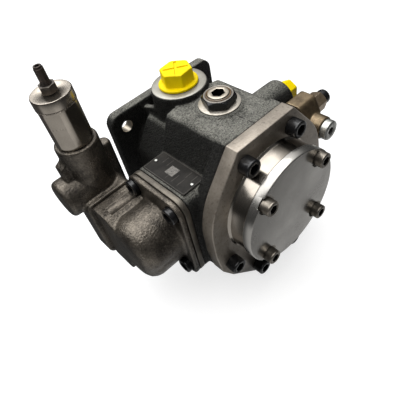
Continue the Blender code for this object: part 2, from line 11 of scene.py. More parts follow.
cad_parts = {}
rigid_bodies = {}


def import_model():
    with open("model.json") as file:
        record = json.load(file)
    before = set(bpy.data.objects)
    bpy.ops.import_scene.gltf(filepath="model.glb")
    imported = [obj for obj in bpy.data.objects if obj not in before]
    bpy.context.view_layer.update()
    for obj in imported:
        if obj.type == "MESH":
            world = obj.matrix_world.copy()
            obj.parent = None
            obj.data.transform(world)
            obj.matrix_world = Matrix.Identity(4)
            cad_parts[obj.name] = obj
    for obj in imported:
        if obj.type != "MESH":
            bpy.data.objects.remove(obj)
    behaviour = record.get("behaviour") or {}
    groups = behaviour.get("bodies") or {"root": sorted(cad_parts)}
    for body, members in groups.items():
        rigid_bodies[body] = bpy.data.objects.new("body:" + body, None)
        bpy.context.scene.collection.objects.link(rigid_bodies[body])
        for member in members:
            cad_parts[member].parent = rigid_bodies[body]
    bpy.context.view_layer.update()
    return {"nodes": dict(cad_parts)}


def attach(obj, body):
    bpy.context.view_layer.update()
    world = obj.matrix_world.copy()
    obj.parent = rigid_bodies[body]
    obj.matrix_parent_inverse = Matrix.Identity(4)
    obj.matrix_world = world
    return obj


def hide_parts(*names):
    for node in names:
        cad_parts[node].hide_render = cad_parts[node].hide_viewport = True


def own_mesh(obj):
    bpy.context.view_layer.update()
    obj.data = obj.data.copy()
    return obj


for old in list(bpy.data.objects):
    bpy.data.objects.remove(old, do_unlink=True)

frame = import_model()
NODES = frame["nodes"]
MM = 0.001

# ---------------------------------------------------------------- the object's stations
Y_MOUNT, FLANGE_T, FLANGE_HALF, FLANGE_R = -68.0, 12.8, 74.8, 13.0
BOLT_OFF, BOLT_R, PILOT_R, PILOT_L = 56.6, 7.0, 62.5, 9.0
Y_JOINT, COVER_T, BOSS_L, BOSS_R = -219.4, 14.8, 18.8, 62.0
DISC_T, DISC_R, BOT_Z, TOP_Z = 10.4, 63.7, -116.0, 86.0
Y_RING, Y_SUCTION, SCREW_PCD = -171.7, -114.9, 54.66
PAD_X, SPACER_T, HOUSE_X, FLG_X = -87.0, 6.1, -93.4, -99.8
CUP_END, CUP_R, CUP_Z, Y_SPLIT = -146.0, 34.5, -5.0, -123.0
VX, VY, SLEEVE_LO, SLEEVE_HI, ADJ_X = -119.5, -94.0, 87.9, 142.0, 3.0
PP_Y, PP_Z, PP_X = -155.8, 25.5, 113.7
SV_Y, SV_Z, SV_X = -188.0, 11.6, 109.0
Y_COVER = Y_JOINT - COVER_T
Y_BOSS = Y_COVER - BOSS_L
COVER_SCREWS = [(-32.5, 68.5), (32.5, 68.5), (-66.0, -50.0), (66.0, -50.0), (-28.0, -99.0), (28.0, -99.0)]
PISTON_SCREWS = [(-201.3, 36.0), (-142.2, 36.0), (-200.0, -49.0), (-142.2, -49.0)]

AIM = {
    "+Z": Matrix.Identity(4),
    "-Z": Matrix.Rotation(math.pi, 4, "X"),
    "-Y": Matrix.Rotation(math.pi / 2, 4, "X"),
    "+Y": Matrix.Rotation(-math.pi / 2, 4, "X"),
    "+X": Matrix.Rotation(math.pi / 2, 4, "Y"),
    "-X": Matrix.Rotation(-math.pi / 2, 4, "Y"),
}


# ---------------------------------------------------------------- materials
class Nodes:
    """Short names for building a node tree."""

    def __init__(self, name):
        self.mat = bpy.data.materials.new(name)
        self.mat.use_nodes = True
        self.tree = self.mat.node_tree
        self.bsdf = self.tree.nodes["Principled BSDF"]
        coords = self.tree.nodes.new("ShaderNodeTexCoord")
        self.at = coords.outputs["Object"]

    def node(self, kind, **settings):
        n = self.tree.nodes.new("ShaderNode" + kind)
        for key, value in settings.items():
            setattr(n, key, value)
        return n

    def link(self, a, b):
        self.tree.links.new(a, b)

    def noise(self, scale, detail=4.0, rough=0.55, at=None, squeeze=None):
        n = self.node("TexNoise")
        n.inputs["Scale"].default_value = scale
        n.inputs["Detail"].default_value = detail
        n.inputs["Roughness"].default_value = rough
        source = at or self.at
        if squeeze:
            m = self.node("Mapping")
            m.inputs["Scale"].default_value = squeeze
            self.link(source, m.inputs["Vector"])
            source = m.outputs["Vector"]
        self.link(source, n.inputs["Vector"])
        return n.outputs["Fac"]

    def remap(self, value, lo, hi, out_lo=0.0, out_hi=1.0):
        n = self.node("MapRange")
        n.clamp = True
        for i, v in zip(("From Min", "From Max", "To Min", "To Max"), (lo, hi, out_lo, out_hi)):
            n.inputs[i].default_value = v
        self.link(value, n.inputs["Value"])
        return n.outputs["Result"]

    def math(self, how, a, b=None):
        n = self.node("Math", operation=how)
        for k, v in enumerate((a, b)):
            if v is None:
                continue
            if isinstance(v, (int, float)):
                n.inputs[k].default_value = v
            else:
                self.link(v, n.inputs[k])
        return n.outputs[0]

    def blend(self, fac, a, b):
        n = self.node("Mix", data_type="RGBA")
        self.link(fac, n.inputs[0])
        for socket, v in ((n.inputs[6], a), (n.inputs[7], b)):
            if isinstance(v, tuple):
                socket.default_value = (*v, 1.0)
            else:
                self.link(v, socket)
        return n.outputs[2]

    def radius(self, centre, axis):
        """Distance from a turning axis, and the place along it, as a vector for 2-D noise."""
        sub = self.node("VectorMath", operation="SUBTRACT")
        self.link(self.at, sub.inputs[0])
        sub.inputs[1].default_value = [c * MM for c in centre]
        flat = self.node("VectorMath", operation="MULTIPLY")
        self.link(sub.outputs[0], flat.inputs[0])
        flat.inputs[1].default_value = [0.0 if k == axis else 1.0 for k in range(3)]
        length = self.node("VectorMath", operation="LENGTH")
        self.link(flat.outputs[0], length.inputs[0])
        parts = self.node("SeparateXYZ")
        self.link(sub.outputs[0], parts.inputs[0])
        join = self.node("CombineXYZ")
        self.link(length.outputs["Value"], join.inputs[0])
        self.link(parts.outputs[axis], join.inputs[1])
        return join.outputs[0]

    def edge(self, width, samples=4):
        """(rounded normal, 0..1 how sharp the edge is here)."""
        bevel = self.node("Bevel", samples=samples)
        bevel.inputs["Radius"].default_value = width * MM
        geo = self.node("NewGeometry")
        dot = self.node("VectorMath", operation="DOT_PRODUCT")
        self.link(bevel.outputs[0], dot.inputs[0])
        self.link(geo.outputs["Normal"], dot.inputs[1])
        return bevel.outputs[0], self.remap(dot.outputs["Value"], 0.995, 0.86)


def srgb(r, g, b):
    def lin(c):
        c /= 255.0
        return c / 12.92 if c <= 0.04045 else ((c + 0.055) / 1.055) ** 2.4
    return (lin(r), lin(g), lin(b))


def surface(name, light, dark, rough, metallic, patch=22.0, grain=(900.0, 0.25, 0.25), fleck=None, lathe=None,
            edge=None, edge_width=0.5, streak=None, coat=0.0, specular=0.5, stain=None, low=None, mottle=0.3, bottom_shade=None):
    """light and dark: the two colours it varies between. grain: (scale per metre, bump strength, depth in mm).
    lathe: (centre, axis) of turning marks. edge: (colour, share) worn along edges. stain: (colour, share).
    low: share of the colour left on walls and undersides, which are painted darker as shade while tops keep the full
    colour.
    bottom_shade: (height, height, share) over which the lower end is painted darker as shade."""
    m = Nodes(name)
    big = m.noise(patch, 5.0, 0.6)
    fine = m.noise(grain[0], 3.0, 0.6)
    mixed = m.math("ADD", m.math("MULTIPLY", big, 1.0 - mottle), m.math("MULTIPLY", fine, mottle))
    colour = m.blend(m.remap(mixed, 0.36, 0.64), dark, light)
    if fleck:
        spots = m.remap(m.noise(grain[0] * 0.6, 2.0, 0.5), 0.60, 0.70)
        colour = m.blend(m.math("MULTIPLY", spots, fleck[1]), colour, fleck[0])
    if stain:
        spots = m.remap(m.noise(patch * 2.3, 6.0, 0.7), 0.50, 0.68)
        colour = m.blend(m.math("MULTIPLY", spots, stain[1]), colour, stain[0])
    # Painted shade: faces that do not face up keep only the low share of the colour and tops keep all of it; the big
    # noise spreads the boundary at random.
    if low is not None:
        geo = m.node("NewGeometry")
        parts = m.node("SeparateXYZ")
        m.link(geo.outputs["Normal"], parts.inputs[0])
        painted_facing_shade = m.remap(m.math("ADD", parts.outputs[2], m.math("MULTIPLY", m.math("SUBTRACT", big, 0.5), 0.4)), 0.66, 0.99, low, 1.0)
        colour = m.blend(painted_facing_shade, (0.0, 0.0, 0.0), colour)
    # Painted shade: the colour darkens towards the bottom between the two given heights.
    if bottom_shade:
        parts = m.node("SeparateXYZ")
        m.link(m.at, parts.inputs[0])
        colour = m.blend(m.remap(parts.outputs[2], bottom_shade[0] * MM, bottom_shade[1] * MM, bottom_shade[2], 1.0), (0.0, 0.0, 0.0), colour)
    rounded, sharp = m.edge(edge_width)
    if edge:
        worn = m.math("MULTIPLY", sharp, m.remap(m.noise(140.0, 4.0, 0.6), 0.35, 0.6, 0.35, 1.0))
        colour = m.blend(m.math("MULTIPLY", worn, edge[1]), colour, edge[0])
    m.link(colour, m.bsdf.inputs["Base Color"])
    height = fine
    if lathe:
        spot = m.radius(*lathe)
        rings = m.noise(1500.0, 2.0, 0.7, at=spot, squeeze=(1.0, 1.0, 0.0))
        height = m.math("ADD", m.math("MULTIPLY", rings, 0.8), m.math("MULTIPLY", fine, 0.2))
    if streak:
        lines = m.noise(300.0, 3.0, 0.7, squeeze=streak)
        height = m.math("ADD", m.math("MULTIPLY", lines, 0.7), m.math("MULTIPLY", fine, 0.3))
    lumps = m.noise(grain[0] * 0.22, 2.0, 0.5)
    total = m.math("ADD", height, m.math("MULTIPLY", lumps, 0.6))
    bump = m.node("Bump")
    bump.inputs["Strength"].default_value = grain[1]
    bump.inputs["Distance"].default_value = grain[2] * MM
    m.link(total, bump.inputs["Height"])
    m.link(rounded, bump.inputs["Normal"])
    m.link(bump.outputs["Normal"], m.bsdf.inputs["Normal"])
    m.link(m.remap(mixed, 0.3, 0.7, rough + 0.07, rough - 0.07), m.bsdf.inputs["Roughness"])
    m.bsdf.inputs["Metallic"].default_value = metallic
    m.bsdf.inputs["Specular IOR Level"].default_value = specular
    if coat:
        m.bsdf.inputs["Coat Weight"].default_value = coat
        m.bsdf.inputs["Coat Roughness"].default_value = 0.25
    return m.mat


# The housing paint's walls and undersides are painted darker as shade, by low.
PAINT = surface("cast_paint", (0.310, 0.305, 0.268), (0.040, 0.040, 0.037), 0.48, 0.0, patch=34, grain=(700.0, 1.0, 2.6),
                fleck=((0.36, 0.35, 0.31), 0.50), edge=((0.16, 0.155, 0.14), 0.25), edge_width=1.2, low=0.08, specular=0.16, mottle=0.8)
FACE = surface("machined_face", (0.40, 0.385, 0.34), (0.26, 0.25, 0.215), 0.38, 0.6, patch=40, grain=(1300.0, 0.12, 0.15),
               lathe=((0, Y_SUCTION, 0), 2), edge=((0.42, 0.40, 0.36), 0.7), edge_width=0.5)
# The lower end of this casting is painted darker as shade.
CAST = surface("bare_casting", (0.190, 0.165, 0.134), (0.036, 0.031, 0.025), 0.31, 0.72, patch=34, grain=(560.0, 0.8, 0.8),
               fleck=((0.30, 0.265, 0.22), 0.40), edge=((0.36, 0.32, 0.26), 0.50), edge_width=1.2, stain=((0.018, 0.016, 0.015), 0.55), mottle=0.4, bottom_shade=(-52.0, -22.0, 0.30))
SPACER = surface("sawn_plate", (0.17, 0.15, 0.12), (0.065, 0.058, 0.05), 0.42, 0.6, patch=50, grain=(900.0, 0.25, 0.25),
                 edge=((0.42, 0.37, 0.31), 0.6), edge_width=0.6)
# The lower part of the cover plate is painted darker as shade.
PLATE = surface("cover_plate_steel", (0.40, 0.352, 0.295), (0.23, 0.20, 0.165), 0.34, 0.62, patch=36, grain=(500.0, 0.45, 0.45),
                fleck=((0.06, 0.05, 0.04), 0.35), edge=((0.50, 0.45, 0.38), 0.6), edge_width=0.9, bottom_shade=(-100.0, -48.0, 0.22))
BOSS = surface("turned_boss", (0.44, 0.40, 0.35), (0.33, 0.30, 0.26), 0.20, 1.0, grain=(1200.0, 0.10, 0.12),
               lathe=((0, 0, 0), 1), edge=((0.7, 0.67, 0.6), 0.5), edge_width=0.5)
SATIN = surface("satin_disc", (0.47, 0.455, 0.425), (0.40, 0.385, 0.36), 0.24, 0.95, patch=26, grain=(1600.0, 0.12, 0.12),
                lathe=((0, 0, 0), 1), edge=((0.55, 0.52, 0.47), 0.7), edge_width=0.6)
BLACK = surface("black_oxide", (0.016, 0.016, 0.017), (0.008, 0.008, 0.009), 0.24, 0.35, patch=90, grain=(1500.0, 0.15, 0.12),
                edge=((0.14, 0.135, 0.13), 0.5), edge_width=0.4, specular=0.7)
SILVER = surface("zinc_screw", (0.30, 0.268, 0.228), (0.15, 0.135, 0.112), 0.33, 0.85, patch=110, grain=(1500.0, 0.15, 0.12),
                 edge=((0.55, 0.5, 0.43), 0.5), edge_width=0.4, stain=((0.07, 0.06, 0.05), 0.5))
YELLOW = surface("yellow_plastic", (0.92, 0.70, 0.0), (0.80, 0.59, 0.0), 0.42, 0.0, patch=60, grain=(1100.0, 0.06, 0.1),
                 edge=((0.98, 0.76, 0.01), 0.4), edge_width=0.7, specular=0.10)
BROWN = surface("passivated_brown", (0.25, 0.185, 0.112), (0.10, 0.072, 0.043), 0.36, 0.75, patch=70, grain=(1000.0, 0.2, 0.2),
                edge=((0.55, 0.45, 0.32), 0.55), edge_width=0.6, stain=((0.30, 0.24, 0.14), 0.5))
BROWN_NUT = surface("passivated_nut", (0.46, 0.36, 0.25), (0.20, 0.15, 0.095), 0.30, 0.85, patch=80, grain=(1200.0, 0.15, 0.15),
                    edge=((0.75, 0.68, 0.56), 0.6), edge_width=0.5)
ZINC = surface("bright_zinc", (0.55, 0.56, 0.53), (0.38, 0.38, 0.355), 0.27, 0.85, patch=90, grain=(1500.0, 0.1, 0.1),
               edge=((0.8, 0.8, 0.76), 0.5), edge_width=0.4)
SLEEVE = surface("turned_sleeve", (0.43, 0.385, 0.33), (0.33, 0.295, 0.25), 0.22, 0.97, patch=34, grain=(1400.0, 0.10, 0.12),
                 lathe=((VX, VY, 0), 2), edge=((0.50, 0.45, 0.39), 0.6), edge_width=0.5)
CREAM = surface("adjuster_steel", (0.48, 0.43, 0.355), (0.32, 0.285, 0.23), 0.32, 0.75, patch=90, grain=(1300.0, 0.12, 0.12),
                lathe=((ADJ_X, Y_RING, 0), 2), edge=((0.75, 0.7, 0.6), 0.6), edge_width=0.4)
WASHER = surface("seal_washer", (0.52, 0.48, 0.42), (0.36, 0.33, 0.28), 0.33, 0.6, patch=80, grain=(1300.0, 0.12, 0.12),
                 edge=((0.55, 0.5, 0.44), 0.6), edge_width=0.3)
AMBER = surface("amber_seal", (0.16, 0.085, 0.022), (0.02, 0.014, 0.010), 0.35, 0.0, patch=55, grain=(1300.0, 0.12, 0.12), edge_width=0.3)
THREAD = surface("dark_thread", (0.060, 0.042, 0.030), (0.018, 0.014, 0.013), 0.38, 0.65, patch=140, grain=(1400.0, 0.15, 0.12),
                 edge=((0.22, 0.165, 0.12), 0.4), edge_width=0.25)
STEEL = surface("machined_steel", (0.40, 0.38, 0.35), (0.28, 0.265, 0.24), 0.28, 0.95, patch=40, grain=(1500.0, 0.1, 0.1),
                edge=((0.7, 0.68, 0.63), 0.5), edge_width=0.4)
SHAFT = surface("ground_shaft", (0.46, 0.45, 0.43), (0.36, 0.345, 0.325), 0.20, 1.0, patch=40, grain=(1500.0, 0.07, 0.1),
                lathe=((0, 0, 0), 1), edge=((0.75, 0.73, 0.7), 0.5), edge_width=0.4)
TAG = surface("nameplate_dark", (0.024, 0.0215, 0.0185), (0.008, 0.0075, 0.0065), 0.60, 0.0, patch=60, grain=(1100.0, 0.18, 0.15),
              edge=((0.10, 0.09, 0.075), 0.5), edge_width=0.25, specular=0.15)
TAG_LINE = surface("nameplate_line", (0.085, 0.078, 0.066), (0.045, 0.042, 0.036), 0.45, 0.5, patch=90, grain=(1100.0, 0.15, 0.12), edge_width=0.2)
TAG_LIGHT = surface("nameplate_field", (0.23, 0.215, 0.19), (0.02, 0.018, 0.016), 0.45, 0.2, patch=950, grain=(1300.0, 0.2, 0.15), edge_width=0.2)
BRONZE = surface("bronze", (0.50, 0.34, 0.16), (0.36, 0.24, 0.10), 0.34, 0.95, patch=60, grain=(1300.0, 0.1, 0.1),
                 edge=((0.7, 0.5, 0.28), 0.4), edge_width=0.4)
RUBBER = surface("rubber", (0.022, 0.022, 0.023), (0.012, 0.012, 0.013), 0.62, 0.0, patch=90, grain=(1000.0, 0.2, 0.15), edge_width=0.4)
# Near-black painted shade for the inside faces of hex sockets.
SOCKET_SHADE = surface("painted_socket_shade", (0.004, 0.004, 0.004), (0.002, 0.002, 0.002), 0.7, 0.0, patch=90, grain=(1000.0, 0.2, 0.15), edge_width=0.3, specular=0.1)
NUT_TOP = surface("nut_top", (0.30, 0.275, 0.24), (0.17, 0.155, 0.135), 0.33, 0.8, patch=90, grain=(1300.0, 0.12, 0.12), edge_width=0.2)
NUT_DARK = surface("worn_nut", (0.17, 0.148, 0.125), (0.06, 0.052, 0.045), 0.33, 0.8, patch=90, grain=(1300.0, 0.15, 0.15),
                   edge=((0.5, 0.45, 0.38), 0.6), edge_width=0.35)
SEAM = surface("parting_seam", (0.020, 0.012, 0.010), (0.008, 0.006, 0.006), 0.5, 0.2, patch=90, grain=(900.0, 0.3, 0.3), edge_width=0.2)


# ---------------------------------------------------------------- meshes
def from_bm(name, bm, smooth=35.0):
    bmesh.ops.remove_doubles(bm, verts=bm.verts, dist=1e-6)
    bmesh.ops.recalc_face_normals(bm, faces=bm.faces)
    mesh = bpy.data.meshes.new(name)
    bm.to_mesh(mesh)
    bm.free()
    mesh.shade_smooth()
    if smooth:
        mesh.set_sharp_from_angle(angle=math.radians(smooth))
    return mesh


def lathe(name, rings, seg=96, loop=False, phase=0.0, rib=None, smooth=35.0, dark=None):
    """A closed solid from rings (radius or None, height[, across flats[, sides]]); each point takes the smaller of the two.
    rib: (count, depth, z0, z1) fine knurl on the outside."""
    bm = bmesh.new()
    loops = []
    for ring in rings:
        r0, z = ring[0], ring[1]
        flats = ring[2] if len(ring) > 2 else None
        sides = ring[3] if len(ring) > 3 else 6
        pts = []
        for i in range(seg):
            a = 2 * math.pi * i / seg
            r = r0 if r0 is not None else 1e9
            if flats:
                step = 2 * math.pi / sides
                off = (a + step / 2) % step - step / 2
                r = min(r, (flats / 2) / math.cos(step / 2 - abs(off)))
            if rib and rib[2] <= z <= rib[3] and i % 2:
                r -= rib[1]
            pts.append(bm.verts.new((r * math.cos(a + phase) * MM, r * math.sin(a + phase) * MM, z * MM)))
        loops.append(pts)
    pairs = list(zip(loops[:-1], loops[1:]))
    if loop:
        pairs.append((loops[-1], loops[0]))
    for k, (a, b) in enumerate(pairs):
        for i in range(seg):
            j = (i + 1) % seg
            # Faces from ring band dark on, and the last cap, are marked for the painted socket shade.
            bm.faces.new((a[i], a[j], b[j], b[i])).material_index = int(dark is not None and k >= dark)
    if not loop:
        bm.faces.new(list(reversed(loops[0])))
        bm.faces.new(loops[-1]).material_index = int(dark is not None)
    return from_bm(name, bm, smooth)


def rod(radius, lo, hi, seg=64):
    return lathe("rod", [(radius, lo), (radius, hi)], seg)


def fillet(corners, seg=10):
    out = []
    n = len(corners)
    for k in range(n):
        x, y, r = corners[k]
        p = Vector((x, y))
        a = Vector(corners[k - 1][:2]) - p
        b = Vector(corners[(k + 1) % n][:2]) - p
        if r <= 0:
            out.append((x, y))
            continue
        a.normalize()
        b.normalize()
        half = math.acos(max(-1, min(1, a.dot(b)))) / 2
        d = r / math.tan(half)
        c = p + (a + b).normalized() * (r / math.sin(half))
        s = p + a * d - c
        e = p + b * d - c
        turn = math.atan2(s.x * e.y - s.y * e.x, s.dot(e))
        for i in range(seg + 1):
            t = turn * i / seg
            out.append((c.x + s.x * math.cos(t) - s.y * math.sin(t), c.y + s.x * math.sin(t) + s.y * math.cos(t)))
    return out


def prism(name, outline, lo, hi, along="Z"):
    bm = bmesh.new()

    def place(u, v, w):
        p = {"Y": (u, w, v), "X": (w, u, v)}.get(along, (u, v, w))
        return tuple(c * MM for c in p)

    low = [bm.verts.new(place(u, v, lo)) for u, v in outline]
    high = [bm.verts.new(place(u, v, hi)) for u, v in outline]
    n = len(outline)
    for i in range(n):
        j = (i + 1) % n
        bm.faces.new((low[i], low[j], high[j], high[i]))
    bm.faces.new(list(reversed(low)))
    bm.faces.new(high)
    return from_bm(name, bm)


def move(mesh, at=(0, 0, 0), aim="+Z", turn=0.0):
    mesh.transform(Matrix.Translation(Vector(at) * MM) @ AIM[aim] @ Matrix.Rotation(math.radians(turn), 4, "Z"))
    return mesh


def temp(mesh):
    obj = bpy.data.objects.new("tmp", mesh)
    bpy.context.scene.collection.objects.link(obj)
    return obj


def bake(obj):
    """The object's mesh with its modifiers applied; the object itself is removed."""
    bpy.context.view_layer.update()
    graph = bpy.context.evaluated_depsgraph_get()
    mesh = bpy.data.meshes.new_from_object(obj.evaluated_get(graph))
    bpy.data.objects.remove(obj, do_unlink=True)
    return mesh


def join(meshes):
    bm = bmesh.new()
    for mesh in meshes:
        bm.from_mesh(mesh)
    mesh = bpy.data.meshes.new("joined")
    bm.to_mesh(mesh)
    bm.free()
    return mesh


def boolean(mesh, tools, how="DIFFERENCE", solver="MANIFOLD", smooth=35.0):
    helpers = [temp(t) for t in tools]
    obj = temp(mesh)
    for h in helpers:
        mod = obj.modifiers.new("cut", "BOOLEAN")
        mod.operation = how
        mod.solver = solver
        mod.object = h
    out = bake(obj)
    for h in helpers:
        bpy.data.objects.remove(h, do_unlink=True)
    out.shade_smooth()
    if smooth:
        out.set_sharp_from_angle(angle=math.radians(smooth))
    return out


def bevelled(mesh, width, segments=3, angle=30.0, smooth=40.0):
    obj = temp(mesh)
    mod = obj.modifiers.new("bevel", "BEVEL")
    mod.width = width * MM
    mod.segments = segments
    mod.limit_method = "ANGLE"
    mod.angle_limit = math.radians(angle)
    mod.use_clamp_overlap = True
    out = bake(obj)
    out.shade_smooth()
    out.set_sharp_from_angle(angle=math.radians(smooth))
    return out


def cast(meshes, voxel=1.4, rounds=6, tools=()):
    """A sand casting: everything fused, edges and inner corners blended, then machined by the tools."""
    obj = temp(join(meshes))
    mod = obj.modifiers.new("fuse", "REMESH")
    mod.mode = "VOXEL"
    mod.voxel_size = voxel * MM * 1.0
    soft = obj.modifiers.new("soft", "SMOOTH")
    soft.factor = 0.5
    soft.iterations = rounds
    mesh = bake(obj)
    if tools:
        mesh = boolean(mesh, tools)
    mesh.shade_smooth()
    mesh.set_sharp_from_angle(angle=math.radians(38))
    return mesh


def show(name, mesh, mat, body="housing", stands_for=()):
    mesh.name = name
    dark = [f.material_index for f in mesh.polygons]
    mesh.materials.clear()
    mesh.materials.append(mat)
    # Faces marked dark take the near-black painted socket shade.
    if any(dark):
        mesh.materials.append(SOCKET_SHADE)
        mesh.polygons.foreach_set("material_index", dark)
    obj = bpy.data.objects.new("v_" + name, mesh)
    bpy.context.scene.collection.objects.link(obj)
    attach(obj, body)
    if stands_for:
        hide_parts(*([stands_for] if isinstance(stands_for, str) else stands_for))
    return obj


# ---------------------------------------------------------------- outlines shared by housing and end cover
def cover_outline(inset=0.0, arc=26):
    r = 84.0 - inset
    flat = [(-38 + inset * 0.4, TOP_Z - inset), (38 - inset * 0.4, TOP_Z - inset)]
    upper = [(r * math.cos(math.radians(39.5 * (1 - i / arc))), r * math.sin(math.radians(39.5 * (1 - i / arc)))) for i in range(arc + 1)]
    corners = [(r, -24.0, 10), (80.0 - inset, -56.0, 8), (67.0 - inset, -78.0, 8), (29.0, BOT_Z, 0)]
    dense = fillet([(r, 0.0, 0)] + corners + [(0, BOT_Z, 0)], 6)[1:-1]
    right = upper + dense
    return flat + right + [(-x, z) for x, z in reversed(right)]


# ---------------------------------------------------------------- pump housing
shapes = [
    prism("rim", cover_outline(0.4), Y_JOINT + 0.3, -206.0, "Y"),
    prism("chamber", fillet([(-38, 85.0, 9), (34, 85.0, 9), (62, 58, 12), (82, 22, 20), (82.5, -26, 10), (78, -56, 10), (65, -78, 8),
                             (29, BOT_Z, 0), (-29, BOT_Z, 0), (-65, -78, 8), (-62, -20, 10), (-61, 20, 10), (-54, 49, 8)]), -207.0, -136.0, "Y"),
    prism("waist", fillet([(-34, 64, 14), (34, 64, 14), (60, 30, 16), (62, -30, 16), (40, -66, 14), (-40, -66, 14), (-62, -30, 16), (-60, 30, 16)]), -137.0, -92.0, "Y"),
    move(lathe("throat", [(52.0, 0), (60.0, 14.0)], 96), (0, -93.0, 0), "+Y"),
    prism("flange", fillet([(-FLANGE_HALF, FLANGE_HALF, FLANGE_R), (FLANGE_HALF, FLANGE_HALF, FLANGE_R),
                            (FLANGE_HALF, -FLANGE_HALF, FLANGE_R), (-FLANGE_HALF, -FLANGE_HALF, FLANGE_R)]), Y_MOUNT - FLANGE_T, Y_MOUNT, "Y"),
    move(lathe("pilot", [(PILOT_R, 0), (PILOT_R, PILOT_L + 1)], 128), (0, Y_MOUNT - 1, 0), "+Y"),
    prism("web_l", [(-136, 40), (-80, 40), (-80, 66), (-98, 72), (-136, 76)], -30.5, -23.5, "X"),
    prism("web_r", [(-136, 40), (-80, 40), (-80, 66), (-98, 72), (-136, 76)], 23.5, 30.5, "X"),
    move(lathe("suction_boss", [(33.0, 30), (30.5, 90.6), (29.6, 91.6)], 96), (0, Y_SUCTION, 0)),
    move(lathe("screw_boss", [(26.0, 70), (23.8, 87.0)], 96), (ADJ_X, Y_RING, 0)),
    move(lathe("pressure_boss", [(22.5, 40), (21.3, PP_X)], 96), (0, PP_Y, PP_Z), "+X"),
    prism("side_pad", fillet([(-213.4, -62.0, 11), (-130.0, -62.0, 15), (-130.0, 48.7, 15), (-213.4, 48.7, 15)]), PAD_X, -50.0, "X"),
    prism("valve_pad", fillet([(-210.0, -22.0, 8), (-165.0, -22.0, 8), (-165.0, 21.0, 8), (-210.0, 21.0, 8)]), 60.0, 92.0, "X"),
]
cuts = [
    move(rod(63.5, 0, 76.6, 96), (0, Y_JOINT - 2, 0), "+Y"),
    move(rod(31.3, 0, 36), (0, -146, 0), "+Y"),
    move(rod(22.3, 0, 60), (0, -112, 0), "+Y"),
    move(rod(27.3, 0, 14), (0, -70.0, 0), "+Y"),
    move(rod(16.7, 20, 100), (0, Y_SUCTION, 0)),
    move(rod(11.6, 40, 100), (ADJ_X, Y_RING, 0)),
    move(rod(10.7, 20, 120), (0, PP_Y, PP_Z), "+X"),
    move(rod(22.3, 30, 100), (0, Y_RING, 0), "-X"),
    move(rod(12.3, 30, 86.5), (0, Y_RING, 0), "+X"),
]
for sx in (-1, 1):
    for sz in (-1, 1):
        cuts.append(move(rod(BOLT_R, 0, 30, 48), (sx * BOLT_OFF, Y_MOUNT - 22, sz * BOLT_OFF), "+Y"))
for x, z in COVER_SCREWS:
    cuts.append(move(rod(6.4, 0, 20, 32), (x, Y_JOINT - 3, z), "+Y"))
for y, z in PISTON_SCREWS:
    cuts.append(move(rod(6.4, 0, 17, 32), (PAD_X - 2, y, z), "+X"))
for y in (-199.6, -144.6):
    cuts.append(move(rod(1.4, 46, 60, 24), (-68.9, y, 0)))
show("pump_housing", cast(shapes, 1.25, 7, cuts), PAINT, stands_for="pump_housing")

# Machined ring on the housing: suction port face.
show("suction_spot_face", move(lathe("f", [(17.0, 91.3), (29.3, 91.3), (29.3, 91.75), (28.9, 91.95), (17.4, 91.95), (17.0, 91.75)], 128, loop=True), (0, Y_SUCTION, 0)), FACE)

for sx in (-1, 1):
    for sz in (-1, 1):
        wall = lathe("wall", [(7.15, 0.6), (7.15, FLANGE_T - 0.6), (6.9, FLANGE_T - 0.6), (6.9, 0.6)], 64, loop=True)
        show(f"flange_hole_wall_{(sx + 1) // 2}{(sz + 1) // 2}", move(wall, (sx * BOLT_OFF, Y_MOUNT - FLANGE_T, sz * BOLT_OFF), "+Y"), CREAM)
show("casting_seam", join([prism("s1", [(-218.6, 84.4), (-218.6, 85.75), (-200.0, 85.35), (-198.0, 84.4)], -0.45, 0.45, "X"),
                           prism("s2", [(-218.6, 84.4), (-218.6, 85.6), (-214.0, 85.4), (-211.0, 84.4)], -1.6, -1.2, "X")]), SEAM)

# ---------------------------------------------------------------- end cover: plate and turned boss
plate_cuts = [move(rod(6.6, 0, 24, 48), (x, Y_JOINT + 2, z), "-Y") for x, z in COVER_SCREWS]
plate_cuts.append(move(rod(50.0, 0, 30, 96), (0, Y_JOINT + 5, 0), "-Y"))
plate = bevelled(prism("plate", cover_outline(0.0), Y_COVER, Y_JOINT, "Y"), 0.9, 3, 40)
show("end_cover", boolean(plate, plate_cuts), PLATE, stands_for="end_cover")
boss_cuts = [move(rod(5.4, 0, 26, 32), (SCREW_PCD * math.cos(math.radians(45 + 90 * k)), Y_BOSS + 22, SCREW_PCD * math.sin(math.radians(45 + 90 * k))), "-Y") for k in range(4)]
boss = move(lathe("boss", [(22.3, 0), (55.0, 0), (55.0, 12.0), (61.9, 14.0), (BOSS_R + 0.1, 14.8), (64.3, 14.8), (63.6, 15.6), (BOSS_R + 0.6, 16.4), (BOSS_R, 17.6), (BOSS_R, COVER_T + BOSS_L - 0.7),
                           (BOSS_R - 0.7, COVER_T + BOSS_L), (30.0, COVER_T + BOSS_L), (30.0, 21.6), (22.3, 21.6)], 160, loop=True), (0, Y_JOINT, 0), "-Y")
show("end_cover_boss", boolean(boss, boss_cuts), BOSS)

# ---------------------------------------------------------------- bearing cover with its edge-breaking pockets
disc = move(lathe("disc", [(DISC_R - 0.5, 0), (DISC_R, 0.5), (DISC_R, DISC_T - 1.3), (DISC_R - 0.35, DISC_T - 0.8), (DISC_R - 0.7, DISC_T - 0.3)], 192), (0, Y_BOSS - 0.3, 0), "-Y")
pockets = []
for k in range(4):
    a = math.radians(45 + 90 * k)
    cx, cz = SCREW_PCD * math.cos(a), SCREW_PCD * math.sin(a)
    pockets.append(move(rod(10.2, 0, 12, 64), (cx, Y_BOSS - DISC_T + 2.2, cz), "-Y"))
    pockets.append(move(rod(5.4, 0, 20, 32), (cx, Y_BOSS + 4, cz), "-Y"))
show("bearing_cover", boolean(disc, pockets), SATIN, stands_for="bearing_cover")


